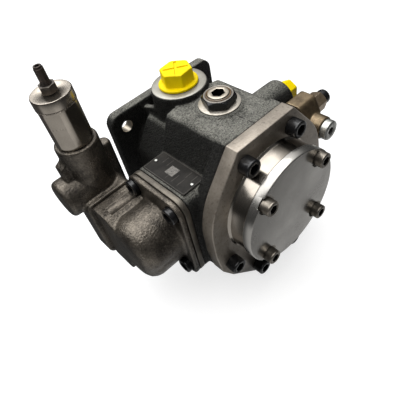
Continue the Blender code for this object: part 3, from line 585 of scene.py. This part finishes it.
def socket_screw(head_r, head_h, shank_r, shank_l, key, ribs=True):
    c = 0.9
    rings = [(shank_r - 0.8, -shank_l), (shank_r, -shank_l + 1.0), (shank_r, -0.8), (shank_r + 0.4, -0.01),
             (head_r - 0.4, 0.0), (head_r, 0.4), (head_r, head_h - c - 1.4), (head_r, head_h - c - 1.2), (head_r, head_h - c), (head_r - 0.35, head_h - 0.3), (head_r - 1.0, head_h),
             (key / 2 * 1.22, head_h), (key / 2 * 1.2, head_h - 0.3, key), (None, head_h - 0.9, key), (None, head_h * 0.42, key), (0.6, head_h * 0.42 - 1.4)]
    # dark=12 marks the socket's inside for the painted socket shade.
    return lathe("socket_screw", rings, 96, rib=(48, 0.14, 0.35, head_h - c - 1.3) if ribs else None, dark=12)


for k in range(4):
    a = math.radians(45 + 90 * k)
    mesh = move(socket_screw(8.0, 10.6, 5.0, 22.0, 8.6), (SCREW_PCD * math.cos(a), Y_BOSS - DISC_T + 1.9, SCREW_PCD * math.sin(a)), "-Y", 23 * k + 10)
    show(f"bearing_cover_screw_{k + 1}", mesh, SILVER, stands_for=f"bearing_cover_screw_{k + 1}")
for k, (x, z) in enumerate(COVER_SCREWS):
    mesh = move(socket_screw(9.0, 12.0, 6.0, 28.0, 10.0), (x, Y_COVER - 0.3, z), "-Y", 17 * k + 5)
    show(f"end_cover_screw_{k + 1}", mesh, BLACK, stands_for=f"end_cover_screw_{k + 1}")

# ---------------------------------------------------------------- spacer and control piston housing
pad_out = [(-213.4, -62.0, 11), (-130.0, -62.0, 15), (-130.0, 48.7, 15), (-213.4, 48.7, 15)]
spacer = bevelled(prism("spacer", fillet(pad_out, 10), PAD_X - SPACER_T, PAD_X - 0.3, "X"), 0.5, 2, 40)
spacer_cuts = [move(rod(22.6, 80, 100), (0, Y_RING, 0), "-X")] + [move(rod(6.6, 0, 30, 32), (PAD_X + 5, y, z), "-X") for y, z in PISTON_SCREWS]
show("spacer_plate", boolean(spacer, spacer_cuts), SPACER, stands_for="spacer_plate")

cup_shapes = [
    prism("flange", fillet(pad_out, 10), FLG_X, HOUSE_X - 0.3, "X"),
    move(lathe("cup", [(CUP_R + 3.5, 96), (CUP_R + 0.6, 102), (CUP_R, 110), (CUP_R, -CUP_END - 15), (CUP_R - 1.3, -CUP_END - 10), (CUP_R - 4.2, -CUP_END - 5), (CUP_R - 9, -CUP_END - 1.6), (CUP_R - 15, -CUP_END - 0.3), (8, -CUP_END)], 96), (0, Y_RING, CUP_Z), "-X"),
    move(lathe("lobe", [(33.5, 96), (33, -CUP_END - 16), (31.6, -CUP_END - 11), (28.3, -CUP_END - 6), (22.5, -CUP_END - 2.8), (16, -CUP_END - 1.4)], 96), (0, Y_RING, -15.5), "-X"),
    prism("ledge", fillet([(-160.0, -50.0, 6), (Y_SPLIT - 0.3, -50.0, 0), (Y_SPLIT - 0.3, 29.0, 0), (-146.0, 29.0, 5), (-160.0, 20.0, 6)], 6), CUP_END + 1.0, -97.0, "X"),
]
cup_cuts = [move(rod(22.4, 90, 136), (0, Y_RING, 0), "-X")]
for y, z in PISTON_SCREWS:
    cup_cuts.append(move(rod(6.6, 0, 30, 32), (-88, y, z), "-X"))
    cup_cuts.append(move(lathe("cb", [(9.8, 0), (9.8, 6.0), (9.8, 40.0)], 64), (FLG_X + 3.6, y, z), "-X"))
show("control_piston_housing", cast(cup_shapes, 1.1, 7, cup_cuts[:1] + cup_cuts[1:]), CAST, stands_for="control_piston_housing")
for k, (y, z) in enumerate(PISTON_SCREWS):
    mesh = move(socket_screw(8.8, 9.4, 6.0, 19.0, 10.0), (FLG_X + 3.3, y, z), "-X", 31 * k)
    show(f"piston_housing_screw_{k + 1}", mesh, BLACK, stands_for=f"piston_housing_screw_{k + 1}")

# ---------------------------------------------------------------- pressure controller
ctrl_shapes = [
    prism("block", fillet([(-150.0, -50.0, 10), (-94.0, -50.0, 10), (-94.0, 31.0, 8), (-150.0, 31.0, 8)], 8), Y_SPLIT + 0.2, -100.0, "Y"),
    move(lathe("barrel", [(18.0, -46), (21.0, -43), (22.4, -38), (22.2, 86.0), (21.0, SLEEVE_LO - 0.2)], 96), (VX, VY, 0)),
    move(lathe("side_boss", [(21.5, 118), (21.5, 157), (20.0, 160.0), (17.0, 161.5)], 96), (0, VY, 33.5), "-X"),
    prism("lug", [(-148.5, 45.0), (-148.5, 70.0), (-141.0, 74.0), (-136.0, 74.0), (-136.0, 45.0)], VY - 7, VY + 7, "Y"),
    move(lathe("bolt_boss", [(8.0, -12), (8.0, 60), (6.5, 63)], 48), (-92.5, -86.0, 0)),
]
ctrl_cuts = [move(rod(9.3, -30, 60), (VX, VY, 0)), move(rod(15.3, 58, 100), (VX, VY, 0))]
show("controller_body", cast(ctrl_shapes, 1.1, 6, ctrl_cuts), CAST, stands_for="controller_body")

# Spring sleeve: collar, long hexagon with turned corners, head disc.
PH = math.radians(16)
sleeve = lathe("sleeve", [
    (14.9, SLEEVE_LO - 18), (14.9, SLEEVE_LO - 0.02), (17.8, SLEEVE_LO), (18.3, SLEEVE_LO + 0.7), (18.7, SLEEVE_LO + 1.6, 36.7), (19.2, SLEEVE_LO + 2.6, 36.7), (19.6, SLEEVE_LO + 4.4, 36.7),
    (19.6, 129.0, 36.7), (19.5, 129.9, 36.9), (19.45, 130.4, 37.4), (19.4, 130.8, 38.0), (19.4, 131.2, 38.8), (18.75, 131.3), (18.75, 132.0), (19.4, 132.2), (19.4, 140.9), (19.1, 141.6), (18.6, SLEEVE_HI),
    (6.4, SLEEVE_HI), (4.9, SLEEVE_HI - 1.0), (4.8, 136.0), (11.8, 133.0), (11.8, SLEEVE_LO - 18)], 240, loop=True, phase=PH)
mark = move(prism("mark", fillet([(-8.0, 113.5, 0.8), (8.0, 113.5, 0.8), (8.0, 135.0, 0.8), (-8.0, 135.0, 0.8)], 4), 18.2, 24.0, "X"), turn=math.degrees(PH) + 210)
mark = boolean(mark, [rod(30.0, 127.5, 140.0)])
show("spring_sleeve", move(boolean(sleeve, [mark]), (VX, VY, 0)), SLEEVE, stands_for="spring_sleeve")


def threaded(name, r, pitch, depth, z0, z1, top, seg=40, key=4.0):
    """A screw with a real helical thread, chamfered ends and a hex socket in its top."""
    bm = bmesh.new()
    steps = int((z1 - z0) / (pitch / 7))
    rings = []
    for k in range(steps + 1):
        z = z0 + (z1 - z0) * k / steps
        row = []
        for i in range(seg):
            t = i / seg
            phase = ((z - z0) / pitch - t) % 1.0
            saw = abs(phase - 0.5) * 2
            rr = r - depth * max(0.0, min(1.0, 1.25 * saw - 0.12))
            fade = min(1.0, (z - z0) / 1.2, (z1 - z) / 1.2)
            rr = rr - (1 - max(0.0, fade)) * depth * 0.8
            a = 2 * math.pi * t
            row.append(bm.verts.new((rr * math.cos(a) * MM, rr * math.sin(a) * MM, z * MM)))
        rings.append(row)
    for spec in top:
        row = []
        for i in range(seg):
            a = 2 * math.pi * i / seg
            rr = spec[0] if spec[0] is not None else 1e9
            if len(spec) > 2:
                off = (a + math.pi / 6) % (math.pi / 3) - math.pi / 6
                rr = min(rr, (spec[2] / 2) / math.cos(math.pi / 6 - abs(off)))
            row.append(bm.verts.new((rr * math.cos(a) * MM, rr * math.sin(a) * MM, spec[1] * MM)))
        rings.append(row)
    for k, (a, b) in enumerate(zip(rings[:-1], rings[1:])):
        for i in range(seg):
            j = (i + 1) % seg
            # Socket faces are marked for the painted socket shade.
            bm.faces.new((a[i], a[j], b[j], b[i])).material_index = int(k >= steps + 4)
    bm.faces.new(list(reversed(rings[0])))
    bm.faces.new(rings[-1]).material_index = 1
    return from_bm(name, bm, 50)


set_screw = threaded("set", 4.4, 1.25, 0.55, 124.0, 165.6, [(3.7, 166.4), (3.4, 166.7), (2.35, 166.7), (2.2, 166.4, 4.0), (None, 165.9, 4.0), (None, 162.6, 4.0), (0.4, 161.8)])
show("pressure_set_screw", move(set_screw, (VX, VY, 0)), THREAD, "set_screw", "pressure_set_screw")


def hex_nut(af, z0, z1, bore, cham=1.0, seg=144, washer=0.0):
    """A nut whose corners are turned off at both ends by a 30 degree cone."""
    top = af / 2 * 0.97
    corner = af / 2 / math.cos(math.pi / 6)
    drop = (corner - top) * math.tan(math.radians(30)) * cham
    rings = []
    if washer:
        rings += [(washer, z0), (washer, z0 + 0.8)]
        z0 += 0.8
    rings += [(top, z0)]
    rings += [(top + (corner - top) * t, z0 + drop * t, af) for t in (0.001, 0.25, 0.5, 0.75, 1.0)]
    rings += [(top + (corner - top) * t, z1 - drop * t, af) for t in (1.0, 0.75, 0.5, 0.25, 0.001)]
    rings += [(top, z1), (bore + 0.9, z1), (bore, z1 - 0.9), (bore, z0 + 0.6)]
    if not washer:
        rings += [(bore + 0.6, z0)]
    return lathe("nut", rings, seg, loop=True, smooth=25)


show("pressure_lock_nut", move(hex_nut(14.0, SLEEVE_HI + 0.3, SLEEVE_HI + 8.0, 4.8), (VX, VY, 0), turn=17), NUT_DARK, "set_nut", "pressure_lock_nut")

# ---------------------------------------------------------------- height adjuster
show("height_adjust_lock_nut", move(hex_nut(30.6, 88.5, 97.6, 11.7, cham=1.5), (ADJ_X, Y_RING, 0), turn=10), BLACK, "height_nut", "height_adjust_lock_nut")
show("height_adjust_nut_face", move(lathe("w", [(14.75, 97.5), (14.75, 97.62), (14.5, 97.72), (13.1, 97.72), (12.95, 97.62), (12.95, 97.5)], 128, loop=True), (ADJ_X, Y_RING, 0)), NUT_TOP, "height_nut")
show("height_adjust_seal_washer", move(lathe("w", [(20.7, 87.5), (21.0, 87.7), (21.0, 88.2), (20.7, 88.4), (11.8, 88.4), (11.8, 87.5)], 128, loop=True), (ADJ_X, Y_RING, 0)), WASHER,
     stands_for="height_adjust_seal_washer")
adj = threaded("adj", 11.2, 1.5, 0.6, 57.8, 98.2, [(10.6, 98.9), (9.9, 99.4), (7.2, 99.4), (6.8, 99.1, 12.0), (None, 98.7, 12.0), (None, 92.0, 12.0), (0.8, 91.0)], seg=72)
show("height_adjust_screw", move(adj, (ADJ_X, Y_RING, 0)), CREAM, "height_screw", "height_adjust_screw")
show("height_adjust_sealant", move(lathe("s", [(11.35, 96.9), (12.9, 97.32), (12.4, 97.9), (11.5, 98.1), (11.3, 97.9)], 96, loop=True), (ADJ_X, Y_RING, 0)), AMBER, "height_nut")


# ---------------------------------------------------------------- transport plugs
def plug(body_r, body_lo, collar_lo, collar_hi, collar_r, af, top, cross):
    corner = af / 2 / math.cos(math.pi / 6)
    rings = [(body_r - 1.7, body_lo), (body_r, body_lo + 1.5), (body_r, collar_lo), (collar_r - 0.5, collar_lo), (collar_r, collar_lo + 0.5), (collar_r, collar_hi - 0.7),
             (collar_r - 0.7, collar_hi), (corner + 0.9, collar_hi + 0.05), (corner + 0.2, collar_hi + 0.5, af + 0.6), (corner - 0.3, collar_hi + 1.2, af), (corner - 0.3, top - 1.6, af - 0.4),
             (corner - 0.9, top - 0.6, af - 0.7), (corner - 1.9, top, af - 2.0)]
    mesh = lathe("plug", rings, 144, smooth=30)
    slots = []
    for turn in (45, 135):
        groove = prism("g", fillet([(-af * 0.42, -1.35, 0.6), (af * 0.42, -1.35, 0.6), (af * 0.42, 1.35, 0.6), (-af * 0.42, 1.35, 0.6)], 4), top - cross, top + 2.0, "Z")
        slots.append(move(groove, turn=turn))
    return boolean(mesh, slots)


show("suction_port_plug", move(plug(16.2, 78.0, 92.1, 94.9, 21.2, 31.0, 109.0, 1.1), (0, Y_SUCTION, 0), turn=7), YELLOW, "suction_plug", "suction_port_plug")
show("pressure_port_plug", move(plug(10.2, PP_X - 13, PP_X + 0.3, PP_X + 2.8, 15.0, 22.6, PP_X + 18.6, 0.8), (0, PP_Y, PP_Z), "+X"), YELLOW, "pressure_plug", "pressure_port_plug")

# ---------------------------------------------------------------- nameplate: blank fields only
Y0, Y1 = -203.6, -140.6
X0, X1 = -83.8, -54.6
tag = bevelled(prism("tag", fillet([(X0, Y0, 1.5), (X1, Y0, 1.5), (X1, Y1, 1.5), (X0, Y1, 1.5)], 5), 49.0, 49.8, "Z"), 0.15, 2, 40)
tag = boolean(tag, [move(rod(1.4, 40, 60, 24), (-68.9, y, 0)) for y in (Y0 + 4.0, Y1 - 4.0)])
show("nameplate", tag, TAG, stands_for="nameplate")


def frame_rect(x0, y0, x1, y1, w, z0, z1, r=1.0):
    outer = fillet([(x0, y0, r), (x1, y0, r), (x1, y1, r), (x0, y1, r)], 4)
    inner = fillet([(x0 + w, y0 + w, max(r - w, 0.2)), (x1 - w, y0 + w, max(r - w, 0.2)), (x1 - w, y1 - w, max(r - w, 0.2)), (x0 + w, y1 - w, max(r - w, 0.2))], 4)
    bm = bmesh.new()
    loops = [[bm.verts.new((x * MM, y * MM, z * MM)) for x, y in o] for o, z in ((outer, z0), (outer, z1), (inner, z1), (inner, z0))]
    for a, b in zip(loops, loops[1:] + loops[:1]):
        n = len(a)
        for i in range(n):
            j = (i + 1) % n
            bm.faces.new((a[i], a[j], b[j], b[i]))
    return from_bm("outline", bm)


lines = [frame_rect(X0 + 0.9, Y0 + 0.9, X1 - 0.9, Y1 - 0.9, 0.45, 49.75, 49.98, 1.2)]
for y in (-189.0, -180.5, -172.0):
    lines.append(prism("rule", [(X0 + 4.5, y), (X0 + 15.5, y), (X0 + 15.5, y + 0.35), (X0 + 4.5, y + 0.35)], 49.75, 49.93, "Z"))
for y in (-196.0, -188.0, -160.0, -152.5):
    lines.append(prism("rule", [(X1 - 12.5, y), (X1 - 3.5, y), (X1 - 3.5, y + 0.35), (X1 - 12.5, y + 0.35)], 49.75, 49.93, "Z"))
show("nameplate_lines", join(lines), TAG_LINE)
show("nameplate_field", bevelled(prism("field", [(-74.2, -176.0), (-63.4, -176.0), (-63.4, -164.6), (-74.2, -164.6)], 49.75, 49.9, "Z"), 0.05, 1), TAG_LIGHT)
for k, y in enumerate((Y0 + 4.0, Y1 - 4.0)):
    rivet = lathe("rivet", [(1.0, -1.6), (1.0, 0.0), (1.85, 0.05), (1.95, 0.2), (1.75, 0.5), (1.3, 0.75), (0.6, 0.88), (0.1, 0.9)], 32, smooth=60)
    show(f"nameplate_rivet_{k + 1}", move(rivet, (-68.9, y, 49.95)), ZINC, stands_for=f"nameplate_rivet_{k + 1}")

# ---------------------------------------------------------------- flow valve on the far side
base = fillet([(-209.0, -21.0, 6), (-160.0, -21.0, 6), (-160.0, 0.0, 3), (-179.2, 6.0, 4), (-179.2, 38.0, 5), (-200.0, 38.0, 7), (-209.0, 20.0, 6)], 6)
valve_shapes = [
    prism("block", base, 92.3, 121.0, "X"),
    move(lathe("arm", [(12.6, 110), (12.6, 127.0), (11.8, 128.8)], 96), (0, SV_Y, SV_Z), "+X"),
    move(lathe("branch", [(13.4, 190), (13.4, 222.0), (12.6, 223.4)], 96), (SV_X, 0, 9.3), "-Y"),
]
valve_cuts = [move(rod(5.0, 105, 140, 48), (0, SV_Y, SV_Z), "+X"), move(rod(8.4, 200, 230, 48), (SV_X, 0, 9.3), "-Y")]
show("side_valve_body", cast(valve_shapes, 0.8, 3, valve_cuts), BROWN, stands_for="side_valve_body")
show("side_valve_lock_nut", move(hex_nut(22.0, 129.1, 147.6, 4.9), (0, SV_Y, SV_Z), "+X", 11), BROWN_NUT, "flow_nut", "side_valve_lock_nut")
show("side_valve_cap", move(lathe("cap", [(4.0, 155.2), (4.95, 154.6), (4.95, 147.9), (8.9, 147.9), (9.2, 148.3), (9.2, 156.4), (8.8, 157.8), (7.8, 158.7), (6.0, 159.0)], 96), (0, SV_Y, SV_Z), "+X"), BLACK, "flow_cap", "side_valve_cap")
# dark=11 marks the plug's hex socket for the painted socket shade.
show("side_valve_plug", move(lathe("plug", [
    (7.4, 205.0), (8.1, 206.0), (8.1, 223.6), (11.4, 223.7), (11.8, 224.1), (11.8, 230.6), (11.4, 231.4), (10.6, 231.8), (5.3, 231.8), (5.1, 231.4, 8.6), (None, 230.9, 8.6), (None, 226.8, 8.6), (0.6, 225.6)], 96, dark=11), (SV_X, 0, 9.3), "-Y", 8), ZINC,
     stands_for="side_valve_plug")

# ---------------------------------------------------------------- drive end
shaft = move(lathe("shaft", [(14.6, 0.0), (15.6, 0.6), (16.0, 1.4), (16.0, 66.0), (16.3, 66.6), (17.0, 67.2), (17.0, 250.0), (16.0, 251.0)], 128), (0, 0, 0), "-Y")
keyway = prism("keyway", fillet([(-5.1, -53.3, 4.9), (5.1, -53.3, 4.9), (5.1, -6.7, 4.9), (-5.1, -6.7, 4.9)], 8), 11.0, 20.0, "Z")
show("drive_shaft", boolean(shaft, [keyway]), SHAFT, "shaft", "drive_shaft")
key = bevelled(prism("key", fillet([(-4.8, -53.0, 4.6), (4.8, -53.0, 4.6), (4.8, -7.0, 4.6), (-4.8, -7.0, 4.6)], 8), 11.3, 19.0, "Z"), 0.4, 2)
show("shaft_key", key, STEEL, "shaft", "shaft_key")
show("shaft_seal", move(lathe("seal", [(27.0, -69.0), (27.0, -61.4), (26.6, -61.0), (25.0, -61.0), (24.4, -62.0), (20.5, -62.4), (19.4, -61.2), (17.6, -61.6), (17.3, -62.6), (17.3, -69.0)], 96, loop=True), (0, 0, 0), "+Y"), RUBBER,
     stands_for="shaft_seal")

# ---------------------------------------------------------------- springs
def coil(name, radius, wire, z0, z1, turn0, turn1, around=14, per=44):
    """One length of a helical spring as a closed tube; z0 and z1 are the heights of its two cut faces."""
    bm = bmesh.new()
    steps = int((turn1 - turn0) * per)
    loops = []
    for i in range(steps + 1):
        t = i / steps
        a = 2 * math.pi * (turn0 + (turn1 - turn0) * t)
        out = Vector((math.cos(a), math.sin(a), 0))
        mid = out * radius + Vector((0, 0, z0 + (z1 - z0) * t))
        loops.append([bm.verts.new((mid + out * (wire * math.cos(b)) + Vector((0, 0, wire * math.sin(b)))) * MM)
                      for b in (2 * math.pi * j / around for j in range(around))])
    for a, b in zip(loops[:-1], loops[1:]):
        for j in range(around):
            k = (j + 1) % around
            bm.faces.new((a[j], a[k], b[k], b[j]))
    bm.faces.new(list(reversed(loops[0])))
    bm.faces.new(loops[-1])
    return from_bm(name, bm, 60)


piston_spring = show("piston_spring", move(coil("coil", 13.0, 1.9, 70.3, 133.5, 0, 5), (0, Y_RING, 0), "-X"), STEEL, stands_for="piston_spring")
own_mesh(piston_spring)
# The pressure spring is pressed from both ends; it is built as two halves.
lower = show("pressure_spring_lower", move(coil("coil", 8.6, 1.5, 77.2, 96.8, 0, 2.5), (VX, VY, 0)), STEEL, stands_for="pressure_spring")
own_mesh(lower)
upper = show("pressure_spring_upper", move(coil("coil", 8.6, 1.5, 96.8, 116.4, 2.5, 5), (VX, VY, 0)), STEEL, stands_for="pressure_spring")
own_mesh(upper)

# ---------------------------------------------------------------- pieces inside keep their CAD shape and take their material
INSIDE = {BRONZE: ("rear_control_plate", "front_control_plate", "rear_bush", "front_bush"),
          STEEL: ("rotor", "stator_ring", "large_control_piston", "small_control_piston", "spring_seat",
                  "control_spool", "side_valve_screw") + tuple(f"vane_{k}" for k in range(1, 10))}
for mat, names in INSIDE.items():
    for n in names:
        NODES[n].data.materials.clear()
        NODES[n].data.materials.append(mat)

# ---------------------------------------------------------------- floor, camera, lights
floor_mat = Nodes("floor")
floor_mat.link(floor_mat.blend(floor_mat.noise(3.0), (0.42, 0.42, 0.42), (0.40, 0.40, 0.40)), floor_mat.bsdf.inputs["Base Color"])
floor_mat.bsdf.inputs["Roughness"].default_value = 0.8
floor_mat.bsdf.inputs["Emission Color"].default_value = (1, 1, 1, 1)
floor_mat.bsdf.inputs["Emission Strength"].default_value = 0.75
floor = bpy.data.meshes.new("floor")
floor.from_pydata([(-3, -3, BOT_Z * MM - 0.0002), (3, -3, BOT_Z * MM - 0.0002), (3, 3, BOT_Z * MM - 0.0002), (-3, 3, BOT_Z * MM - 0.0002)], [], [(0, 1, 2, 3)])
floor.materials.append(floor_mat.mat)
floor_obj = bpy.data.objects.new("floor", floor)
bpy.context.scene.collection.objects.link(floor_obj)
floor_obj.visible_diffuse = False
floor_obj.visible_glossy = False

cam = bpy.data.cameras.new("camera")
cam.lens = 35.198
cam.sensor_width = 36.0
cam.clip_start = 0.01
cam_obj = bpy.data.objects.new("camera", cam)
cam_obj.matrix_world = Matrix.Translation((-0.206907, -0.419293, 0.309299)) @ Matrix((
    (0.716861, 0.592511, -0.367480), (-0.677676, 0.468222, -0.567031), (-0.163910, 0.655514, 0.737180))).to_4x4()
bpy.context.scene.collection.objects.link(cam_obj)
bpy.context.scene.camera = cam_obj


def area(name, at, to, size, power, colour=(1, 1, 1)):
    light = bpy.data.lights.new(name, "AREA")
    light.shape = "RECTANGLE"
    light.size, light.size_y = size
    light.energy = power
    light.color = colour
    obj = bpy.data.objects.new(name, light)
    obj.location = at
    obj.rotation_euler = (Vector(to) - Vector(at)).to_track_quat("-Z", "Y").to_euler()
    bpy.context.scene.collection.objects.link(obj)


area("top", (-0.15, 0.10, 1.0), (0, -0.17, 0), (1.5, 1.5), 19.0)

world = bpy.data.worlds.new("studio")
world.use_nodes = True
tree = world.node_tree
back = tree.nodes["Background"]
back.inputs[0].default_value = (1, 1, 1, 1)
where = tree.nodes.new("ShaderNodeTexCoord").outputs["Generated"]


def toward(direction, lo, hi, out_lo=0.0, out_hi=1.0):
    dot = tree.nodes.new("ShaderNodeVectorMath")
    dot.operation = "DOT_PRODUCT"
    dot.inputs[1].default_value = direction
    tree.links.new(where, dot.inputs[0])
    ramp = tree.nodes.new("ShaderNodeMapRange")
    ramp.interpolation_type = "SMOOTHSTEP"
    for key, value in zip(("From Min", "From Max", "To Min", "To Max"), (lo, hi, out_lo, out_hi)):
        ramp.inputs[key].default_value = value
    tree.links.new(dot.outputs["Value"], ramp.inputs["Value"])
    return ramp.outputs[0]


def calc(how, a, b):
    n = tree.nodes.new("ShaderNodeMath")
    n.operation = how
    for k, v in enumerate((a, b)):
        if isinstance(v, float):
            n.inputs[k].default_value = v
        else:
            tree.links.new(v, n.inputs[k])
    return n.outputs[0]


# Above: a dim room with one broad soft box behind. Below: a pale table, with one dark sector at the front right.
room = toward((0, 0, 1), 0.0, 0.9, 0.03, 0.16)
box = toward((0.30, 0.42, 0.86), 0.66, 0.98, 0.0, 1.25)
table = calc("ADD", toward((0, 0, -1), 0.05, 0.35, 0.0, 0.58), toward((-0.34, -0.80, -0.49), 0.95, 0.995, 0.0, 0.22))
clear = calc("MAXIMUM", toward((0.3, 0.85, -0.3), 0.0, 0.06, 0.0, 1.0), toward((-1, 0, 0), -0.25, 0.15, 0.0, 1.0))
table = calc("MULTIPLY", table, toward((0, 1, 0), 0.10, 0.42, 1.0, 0.10))
lower = calc("MULTIPLY", table, calc("ADD", calc("MULTIPLY", clear, 0.88), 0.12))
tree.links.new(calc("ADD", calc("ADD", room, box), lower), back.inputs[1])
bpy.context.scene.world = world
bpy.context.scene.view_settings.view_transform = "Standard"
